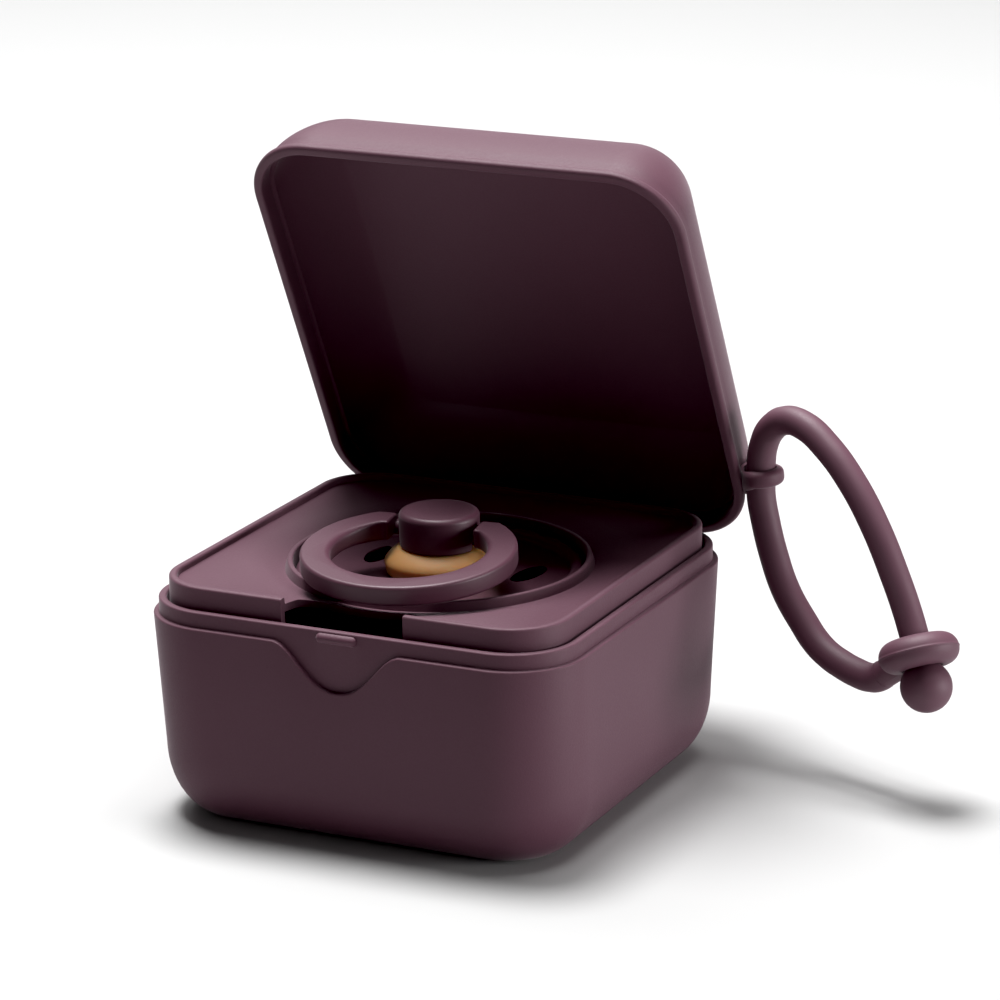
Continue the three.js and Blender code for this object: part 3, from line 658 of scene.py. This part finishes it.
# %% Hinge knuckles on gussets
hinge_y = 35.5
hinge_z = 29.7
pin_bore = 1.1
knuckle_radius = 2.2
knuckle_near = 7.35
knuckle_far = 14.35
relief_radius = 2.5
bore_reach = 15.4
gusset_root = 33.0
gusset_rise = 1.1
gusset_drop = 7
gusset_slope = 1.56

for x0, x1 in [(knuckle_near, knuckle_far), (-knuckle_far, -knuckle_near)]:
    gusset = pulled([
        (x0, gusset_root, hinge_z + gusset_rise), (x0, hinge_y, hinge_z + gusset_rise),
        (x0, hinge_y + gusset_slope, hinge_z - gusset_slope), (x0, gusset_root, hinge_z - gusset_drop),
    ], (x1 - x0, 0, 0))
    combine(tub, gusset, "UNION")
    combine(tub, rod(knuckle_radius, x0, x1, hinge_y, hinge_z), "UNION")
combine(tub, rod(relief_radius, -knuckle_near, knuckle_near, hinge_y, hinge_z), "DIFFERENCE")
combine(tub, rod(pin_bore, -bore_reach, bore_reach, hinge_y, hinge_z, 24), "DIFFERENCE")
finish_piece(tub, plum, "base", "base_shell")

# %% [markdown]
# ## The tray
#
# The tray is one thin sheet: a rim that stands above the neck, a deck that dips from a rounded square to
# a circle, a raised collar, and a seat with a hole for the nipple. The loft closes on itself along the
# underside. The front notch is then cut out, and its fresh edges are softened with a narrow bevel.

# %% Build the tray
tray_half = 31.6
tray_corner = 8.7
tray_low = 25.0
tray_top = 36.5
tray_draft = 0.1
tray_edge = 0.4
rim_half = 30.4
rim_corner = 7.5
dish_radius = 28.2
collar_outer = 22.55
collar_inner = 21.7
collar_top = 35.2
collar_edge = 0.25
seat_level = 30.6
seat_fillet = 0.2
seat_hole = 15.5
under_seat = 29.4
under_collar = 22.7

top_side = [
    (tray_half - tray_draft, tray_corner - tray_draft, tray_low),
    (tray_half, tray_corner, shoulder),
    *edge_ring(tray_half, tray_corner, tray_top, tray_edge, 4),
    *edge_ring(rim_half, rim_corner, tray_top, -tray_edge, 4)[::-1],
    (rim_half - 0.05, rim_corner, tray_top - 0.9),
    (rim_half - 0.3, rim_corner + 0.1, tray_top - 1.06),
    (dish_radius, dish_radius, tray_top - 1.5),
]
collar = [
    (collar_outer + 0.65, collar_outer + 0.65, collar_top - 1.36),
    (collar_outer + 0.35, collar_outer + 0.35, collar_top - 1.4),
    (collar_outer + 0.31, collar_outer + 0.31, collar_top - 1.25),
    *edge_ring(collar_outer, collar_outer, collar_top, collar_edge, 3),
    *edge_ring(collar_inner, collar_inner, collar_top, -collar_edge, 3)[::-1],
]
seat_rings = [
    (collar_inner, collar_inner, seat_level + seat_fillet),
    (collar_inner - seat_fillet, collar_inner - seat_fillet, seat_level),
    (seat_hole + seat_fillet, seat_hole + seat_fillet, seat_level),
    (seat_hole, seat_hole, seat_level - seat_fillet),
]
underside = [
    (seat_hole, seat_hole, under_seat),
    (under_collar, under_collar, under_seat),
    (under_collar, under_collar, collar_top - 2.6),
    (dish_radius, dish_radius, tray_top - 2.7),
    (rim_half, rim_corner, tray_top - 2.2),
    (rim_half - tray_draft, rim_corner, tray_low),
]
tray = plain_object("tray_insert", loft(top_side + collar + seat_rings + underside, closed=True))

# %% Cut the finger notch
notch_half = 9.7
notch_arc = 25.4
notch_round = 3.0
notch_front = -33.0
notch_low = 28
notch_height = 9
notch_edge = 0.22
centre_x = notch_half - notch_round
centre_y = -math.sqrt((notch_arc + notch_round) ** 2 - centre_x ** 2)
meet = math.degrees(math.atan2(centre_x, -centre_y))
side_points = [
    (notch_half, notch_front),
    *round_corner(centre_x, centre_y, notch_round, 0, 90 + meet, 12),
    *round_corner(0, 0, notch_arc, meet - 90, -90, 12)[1:],
]
plan = side_points + [(-x, y) for x, y in side_points[-2::-1]]
combine(tray, pulled([(x, y, notch_low) for x, y in plan], (0, 0, notch_height)), "DIFFERENCE")
soften(tray, notch_edge, angle=60, segments=3)
finish_piece(tray, plum, "base", "tray")

# %% [markdown]
# ## The lid
#
# The lid is drawn shut, like the mould that makes it, and turned open about the hinge at the end. Its
# crown rises in a squircle-like curve to a flat top. The rim has a proud bead outside and a rebate inside
# that closes over the tub's neck, with a pocket for the snap bead and one knuckle between the tub's two.

# %% Build the lid
rim = shoulder + 0.3
lid_half = 35.0
lid_corner = 10.7
lid_side = 34.25
lid_side_corner = 9.95
lid_wall = 1.5
roof = 1.6
crown_start = rim + 3.3
crown_top = rim + 15.3
crown_inset = 6.5
crown_corner_loss = 4.55
crown_bulge = 1.5
crown_steps = 20
flat_corner = 4.5
flat_inset = 10
ceiling_inset = 11
rebate_half = 33.45
rebate_corner = 9.15
rebate_top = rim + 2.9
rebate_edge = 0.15
rebate_lead = 0.3
bead_round = 0.6
bead_high = rim + 0.8
bead_end = rim + 1.5
bead_proud = 0.25
bead_fillet = 0.06

crown = rounded((lid_side, lid_side_corner, crown_start),
                (lid_side - crown_inset, lid_side_corner - crown_corner_loss, crown_top),
                crown_steps, crown_bulge)
wall_side = lid_side - lid_wall
wall_corner = lid_side_corner - lid_wall
ceiling = rounded((wall_side, wall_corner, crown_start),
                  (wall_side - crown_inset, wall_corner - crown_corner_loss, crown_top - roof),
                  crown_steps, crown_bulge)
inside = [
    (lid_side - ceiling_inset, flat_corner, crown_top - roof),
    *ceiling[::-1],
    (wall_side, wall_corner, rebate_top + 0.2),
    (wall_side + 0.05, wall_corner + 0.05, rebate_top),
    (rebate_half - rebate_edge, rebate_corner - rebate_edge, rebate_top),
    (rebate_half, rebate_corner, rebate_top - rebate_edge),
    *rounded((rebate_half, rebate_corner, rim + rebate_lead),
             (rebate_half + rebate_lead, rebate_corner + rebate_lead, rim), 3),
]
outside = [
    *rounded((lid_half, lid_corner, rim + bead_round),
             (lid_half - bead_round, lid_corner - bead_round, rim), 6)[::-1],
    *rounded((lid_half, lid_corner, bead_high),
             (lid_side + bead_proud, lid_side_corner + bead_proud, bead_end), 5),
    (lid_side + bead_fillet, lid_side_corner + bead_fillet, rim + 1.6),
    (lid_side, lid_side_corner, rim + 1.8),
    *crown,
    (lid_side - flat_inset, flat_corner, crown_top),
]
lid = plain_object("lid_shell", loft(inside + outside))

# %% The lid's pocket and knuckle
pocket_gap = 0.25
lid_knuckle = 7
relief_reach = 14.7
web_root = 34.0
web_end = hinge_y + 1.76
web_low = hinge_z + 0.73
combine(lid, snap_bead(pocket_gap), "DIFFERENCE")
for x0, x1 in [(lid_knuckle, relief_reach), (-relief_reach, -lid_knuckle)]:
    combine(lid, rod(relief_radius, x0, x1, hinge_y, hinge_z), "DIFFERENCE")
combine(lid, block(-lid_knuckle, lid_knuckle, web_root, web_end, web_low, bead_end), "UNION")
combine(lid, rod(knuckle_radius, -lid_knuckle, lid_knuckle, hinge_y, hinge_z), "UNION")
combine(lid, rod(pin_bore, -lid_knuckle - 1, lid_knuckle + 1, hinge_y, hinge_z, 24), "DIFFERENCE")
print("lid knuckle joined")

# %% [markdown]
# ## The ear
#
# The ear is a short eye on the lid's right side that the strap runs through. Where it meets the lid it
# flares, most of all downwards, as a moulded root does so that it doesn't tear off. It is a pulled
# outline with rounded edges. Cuts across it give the points that the flare moves, and the hole is
# drilled after that, so that the hole stays round.

# %% Outline the ear and flare its root
open_angle = math.radians(63.4)
hinge = Vector((0, hinge_y, hinge_z)) * mm
swing = Matrix.Translation(hinge) @ Matrix.Rotation(-open_angle, 4, "X") @ Matrix.Translation(-hinge)

ear_place = Vector((37.75, 22.8, 32.9)) * mm
ear_radius = 3.55
ear_height = 2.6
ear_root = -3.62
ear_root_rear = 4.8
ear_root_front = -0.5
ear_edge = 0.95
flare_down = 1.9
flare_up = 0.4
ear_cuts = (-0.6, -1.2, -1.8, -2.4, -3.0, -3.4)
root_steps = 8
outline = round_corner(0, 0, ear_radius, -90, 90, 24)
for i in range(1, root_steps + 1):
    share = i / root_steps
    outline.append((ear_root * share, ear_radius + (ear_root_rear - ear_radius) * share ** 2))
for i in range(root_steps, 0, -1):
    share = i / root_steps
    outline.append((ear_root * share, -ear_radius + (ear_radius - ear_root_front) * share ** 1.6))
ear = pulled([(x, y, -ear_height / 2) for x, y in outline], (0, 0, ear_height))
flat_edges = [edge for edge in ear.edges if abs(edge.verts[0].co.z - edge.verts[1].co.z) < 0.01 * mm]
bmesh.ops.bevel(ear, geom=flat_edges, offset=ear_edge * mm, offset_type="OFFSET", segments=7, profile=0.5,
                affect="EDGES", material=-1)
for x in ear_cuts:
    everything = ear.verts[:] + ear.edges[:] + ear.faces[:]
    bmesh.ops.bisect_plane(ear, geom=everything, plane_co=(x * mm, 0, 0), plane_no=(1, 0, 0),
                           dist=0.001 * mm)
for vert in ear.verts:
    inward = max(0.0, vert.co.x / (ear_root * mm))
    vert.co.z *= 1 + (flare_down * inward ** 1.2 if vert.co.z < 0 else flare_up * inward ** 2)

# %% Drill the ear, join it and swing the lid open
ear_tilt = math.radians(-5.5)
ear_raise = 0.3
ear_bore_depth = 5
ear_bore_edge = 0.2
ear_piece = plain_object("ear_tool", ear)
combine(ear_piece, cylinder(bore_radius, bore_radius, ear_bore_depth), "DIFFERENCE")
soften(ear_piece, ear_bore_edge, angle=60, segments=3)
ear_lift = Matrix.Rotation(ear_tilt, 4, "Y") @ Matrix.Translation((0, 0, ear_raise * mm))
ear_piece.data.transform(Matrix.Translation(ear_place) @ Matrix.Rotation(open_angle, 4, "X") @ ear_lift)
ear_bm = bmesh.new()
ear_bm.from_mesh(ear_piece.data)
bpy.data.objects.remove(ear_piece)
combine(lid, ear_bm, "UNION")
lid.data.transform(swing)
finish_piece(lid, plum, "lid", "lid")

# %% [markdown]
# ## The shield
#
# The pacifier's shield is a shallow round dish with a rounded rim and two upright vents. It is turned,
# and each vent is a stretched cone that is cut out, so the hole is an oval that widens downwards. One
# narrow bevel then softens every fresh edge, as a mould would.

# %% Turn the shield and cut its vents
shield_radius = 21.35
shield_foot = 30.9
shield_top = 34.0
shield_face = 32.5
shield_bore = 5.2
foot_round = 0.5
rim_round = 0.95
face_edge = 18.9
shield = plain_object("shield", turned([
    (shield_bore, shield_foot),
    (shield_radius - rim_round, shield_foot),
    *round_corner(shield_radius - foot_round, shield_foot + foot_round, foot_round, -80, 0, 4),
    *round_corner(shield_radius - rim_round, shield_top - rim_round, rim_round, 0, 150, 10),
    (face_edge + 0.55, shield_face + 0.6), (face_edge + 0.48, shield_face + 0.3),
    (face_edge + 0.3, shield_face + 0.1), (face_edge, shield_face),
    (shield_bore, shield_face),
], closed=True, steps=128))

vent_low = 3.2
vent_high = 1.0
vent_depth = 6
vent_stretch = 2.3
vent_turn = math.radians(7)
vent_x = 12.4
vent_y = 4.3
vent_z = 31.7
vent_edge = 0.25
for side in (-1, 1):
    vent = cylinder(vent_low, vent_high, vent_depth)
    lean = Matrix.Rotation(-side * vent_turn, 3, "Z")
    bmesh.ops.scale(vent, verts=vent.verts, vec=(1, vent_stretch, 1))
    bmesh.ops.rotate(vent, verts=vent.verts, cent=(0, 0, 0), matrix=lean)
    bmesh.ops.translate(vent, verts=vent.verts, vec=Vector((side * vent_x, vent_y, vent_z)) * mm)
    combine(shield, vent, "DIFFERENCE")
soften(shield, vent_edge, segments=3)
finish_piece(shield, plum_gloss, "pacifier", "pacifier_shield")

# %% [markdown]
# ## The nipple
#
# The nipple hangs through the shield and the tray's hole into the tub, where it ends in a round bulb. Above
# the shield it spreads into the amber bell under the knob. Inside it is hollow. All of that is one outline,
# run up the outside and back down the inside, and turned once.

# %% Turn the nipple
nipple_bottom = 6.4
bulb_radius = 8.2
rubber_wall = 1.5
neck_radius = 4.6
stem_bore = 2.9
inner_flange = 7.2
inner_flange_low = 29.2
inner_flange_high = 30.6
shield_neck = 4.9
bell_low = 33.2
bell_top = 36.68
bulb_z = nipple_bottom + bulb_radius
bulb_turn = math.degrees(math.acos(neck_radius / bulb_radius))
hollow = bulb_radius - rubber_wall
hollow_turn = math.degrees(math.acos(stem_bore / hollow))
bell = [
    (8.14, 33.9), (8.22, 34.3), (8.24, 34.55), (8.16, 34.85), (7.9, 35.25), (7.45, 35.72), (6.9, 36.17),
    (6.3, 36.55), (5.7, bell_top),
]
nipple = plain_object("nipple", turned([
    *round_corner(0, bulb_z, bulb_radius, -90, bulb_turn - 8, 26),
    (neck_radius + 0.15, bulb_z + 7.4), (neck_radius, bulb_z + 8.6),
    (neck_radius, inner_flange_low - 0.2), (neck_radius + 0.2, inner_flange_low),
    (inner_flange - 0.3, inner_flange_low), (inner_flange, inner_flange_low + 0.3),
    (inner_flange, inner_flange_high - 0.3), (inner_flange - 0.3, inner_flange_high),
    (shield_neck, inner_flange_high), (shield_neck, bell_low - 0.4),
    *round_corner(7.55, bell_low, 0.4, -90, -10, 4),
    *bell,
    (stem_bore, bell_top),
    *round_corner(0, bulb_z, hollow, hollow_turn, -90, 20),
], steps=96))
finish_piece(nipple, amber, "pacifier", "pacifier_nipple", sharp=60)

# %% [markdown]
# ## The knob
#
# The knob plugs nipple and shield together from above with its stem. Its top is slightly dished, which
# catches the light as a soft crescent. On both sides an open bay takes the ring's end, with a fine bore
# for the axle. The whole pacifier lies a few degrees askew in its seat, so knob and ring are turned last.

# %% Turn the knob and cut its bays
knob_foot = 36.7
knob_top = 42.2
stem_length = 12
stem_radius = 2.6
knob_round = 0.9
pivot_z = 38.9
bay = 1.45
bay_near = 4.4
bay_far = 7.2
bay_edge = 0.2
axle_bore_near = 2.9
axle_bore_far = 4.7
askew = math.radians(5)
pull_turn = Matrix.Rotation(askew, 4, "Z")
knob = plain_object("knob", turned([
    (0, knob_foot - stem_length), (stem_radius - 0.3, knob_foot - stem_length),
    (stem_radius, knob_foot - stem_length + 0.3), (stem_radius, knob_foot),
    (5.6, knob_foot), (5.85, knob_foot + 0.25), (5.95, knob_foot + 1.8),
    *round_corner(5.1, knob_top - knob_round, knob_round, 0, 80, 8),
    (4.9, knob_top - 0.02), (4.3, knob_top - 0.1), (3, knob_top - 0.25), (1.5, knob_top - 0.33),
    (0, knob_top - 0.35),
], steps=96))
for side in (-1, 1):
    near, far = sorted((side * bay_near, side * bay_far))
    combine(knob, rod(bay, near, far, 0, pivot_z), "DIFFERENCE")
    combine(knob, block(near, far, -bay, bay, knob_foot - 1, pivot_z), "DIFFERENCE")
    near, far = sorted((side * axle_bore_near, side * axle_bore_far))
    combine(knob, rod(pin_bore, near, far, 0, pivot_z, 24), "DIFFERENCE")
soften(knob, bay_edge, angle=60)
knob.data.transform(pull_turn)
finish_piece(knob, plum_gloss, "pacifier", "pacifier_knob")

# %% [markdown]
# ## The ring
#
# The ring is a flat round band with a straight bar across its rear, which is split for the knob. Half of
# that plan is an outline of arcs, pulled up and mirrored. On the real ring the inner edges are rounder
# than the outer ones, and at the bar they are almost crisp. One bevel does all three, because each edge
# carries its own weight. A spin alone couldn't give the bar.

# %% Outline half of the ring, pull it up and mirror it
ring_half = 1.5
ring_inner = 11.4
ring_outer = 15.85
ring_reach = 12.2
back_edge = 0.3
bar_front = -3.65
split = 6.7
fillet = 1.1
tip_round = 0.38
fillet_x = math.sqrt((ring_inner - fillet) ** 2 - (bar_front + ring_reach - fillet) ** 2)
fillet_turn = math.degrees(math.atan2(bar_front + ring_reach - fillet, fillet_x))
back_x = math.sqrt(ring_outer ** 2 - (ring_reach + back_edge) ** 2)
back_turn = math.degrees(math.atan2(ring_reach + back_edge, back_x))
half = [
    *round_corner(0, -ring_reach, ring_inner, -90, fillet_turn, 66),
    *round_corner(fillet_x, bar_front - fillet, fillet, fillet_turn + 8, 90, 6),
    *round_corner(split + tip_round, bar_front + tip_round, tip_round, -90, -180, 5),
    *round_corner(split + tip_round, back_edge - tip_round, tip_round, 180, 90, 5),
    *round_corner(0, -ring_reach, ring_outer, back_turn, -90, 74),
]
band = pulled([(x, y, -ring_half) for x, y in half], (0, 0, 2 * ring_half))
ends = [face for face in band.faces if all(abs(vert.co.x) < 0.001 * mm for vert in face.verts)]
bmesh.ops.delete(band, geom=ends, context="FACES_ONLY")
bmesh.ops.mirror(band, geom=band.verts[:] + band.edges[:] + band.faces[:], axis="X",
                 merge_dist=0.002 * mm)
bmesh.ops.remove_doubles(band, verts=band.verts, dist=merge_gap * mm)

# %% Weigh the edges and round them
inner_edge = 0.95
outer_share = 0.55 / inner_edge
bar_share = 0.36
share_grows_over = 6
near_edge = 0.1
weights = band.edges.layers.float.new("bevel_weight_edge")
for edge in band.edges:
    low, high = edge.verts
    if abs(low.co.z - high.co.z) > near_edge * mm or abs(low.co.x) + abs(high.co.x) < 0.01 * mm:
        continue
    middle = (low.co + high.co) / (2 * mm)
    away = math.hypot(middle.x, middle.y + ring_reach)
    if away > ring_outer - near_edge:
        edge[weights] = outer_share
    elif away < ring_inner + near_edge and middle.y < bar_front - 0.3:
        edge[weights] = min(1.0, bar_share + (bar_front - middle.y) / share_grows_over)
    else:
        edge[weights] = bar_share
ring = plain_object("ring", band)
step = ring.modifiers.new("soften", "BEVEL")
step.width = inner_edge * mm
step.segments = 6
step.limit_method = "WEIGHT"
step.use_clamp_overlap = False
step.material = -1
bake_modifiers(ring)

# %% Add the ring's eyes and axles and lay it down
ring_offset = 0.65
eye_radius = 1.15
eye_near = 4.7
eye_far = 7.6
axle_radius = 0.8
axle_near = 3.2
ring_tilt = math.radians(4.3)
ring.data.transform(Matrix.Translation((0, 0, ring_offset * mm)))
for side in (-1, 1):
    near, far = sorted((side * eye_near, side * eye_far))
    combine(ring, rod(eye_radius, near, far, 0, 0), "UNION")
    near, far = sorted((side * axle_near, side * split))
    combine(ring, rod(axle_radius, near, far, 0, 0, 24), "UNION")
on_pivot = Matrix.Translation((0, 0, pivot_z * mm)) @ Matrix.Rotation(ring_tilt, 4, "X")
ring.data.transform(pull_turn @ on_pivot)
finish_piece(ring, plum_gloss, "ring", "pacifier_ring")

# %% [markdown]
# ## The floor
#
# The floor is plain and pale and far wider than the picture, so that no edge of it shows. It is matte, and
# it sends a good part of the light back up at the box's dark front.

# %% Floor
floor_bm = bmesh.new()
bmesh.ops.create_grid(floor_bm, x_segments=1, y_segments=1, size=6)
floor_mesh = bpy.data.meshes.new("floor")
floor_bm.to_mesh(floor_mesh)
floor_bm.free()
floor = bpy.data.objects.new("floor", floor_mesh)
bpy.context.scene.collection.objects.link(floor)
pale, shader = new_material("pale_floor", {"Base Color": (0.49, 0.49, 0.49, 1), "Roughness": 0.9})
floor_mesh.materials.append(pale)
print("floor laid")

# %% [markdown]
# ## The light
#
# Most of the light comes from above and behind, which leaves the front face dark and lays a soft sheen on
# everything that faces up. One low lamp on the right lights the right side and the strap without reaching
# into the lid. All of them are round softboxes that look at the middle of the box. They are large, because
# a large lamp gives a shadow without a hard edge. The world adds only a little fill.

# %% Softboxes
softboxes = [
    ("overhead_key", (-0.22, 0.17, 1.20), 0.5, 21.5),
    ("overhead_right", (0.22, 0.16, 1.15), 0.5, 5.0),
    ("left_rear", (-0.50, 0.45, 1.05), 0.8, 6.0),
    ("right_side", (1.20, 0.20, 0.14), 0.5, 12.0),
    ("low_backdrop", (-1.00, 1.60, 0.50), 1.6, 3.2),
]
box_middle = Vector((0, 0, 40)) * mm
fill_strength = 0.12


def softbox(name, place, size, power):
    data = bpy.data.lights.new(name, "AREA")
    data.shape = "DISK"
    data.size = size
    data.energy = power
    lamp = bpy.data.objects.new(name, data)
    bpy.context.scene.collection.objects.link(lamp)
    direction = box_middle - Vector(place)
    lamp.matrix_world = Matrix.Translation(place) @ direction.to_track_quat("-Z", "Y").to_matrix().to_4x4()


for name, place, size, power in softboxes:
    softbox(name, place, size, power)

world = bpy.data.worlds.new("studio")
bpy.context.scene.world = world
world.use_nodes = True
background = world.node_tree.nodes["Background"]
background.inputs["Color"].default_value = (1, 1, 1, 1)
background.inputs["Strength"].default_value = fill_strength
print(len(softboxes), "softboxes")

# %% [markdown]
# ## The view
#
# The view keeps plain colours, with a little less gamma and a small black level, because the picture's
# shadows are nearly black. A film-like view would lift them and wash out the plum.

# %% Plain colours with deep shadows
view = bpy.context.scene.view_settings
view.view_transform = "Standard"
view.gamma = 0.9
view.use_curve_mapping = True
view.curve_mapping.black_level = (0.008, 0.008, 0.008)
view.curve_mapping.update()
print("view", view.view_transform)

# %% [markdown]
# ## The sizes
#
# The dressing is meant to keep the real size, so the box round the dressed model should agree with the box
# round the engineering model on every side within a tenth of a millimetre.

# %% Finish
print("finished")
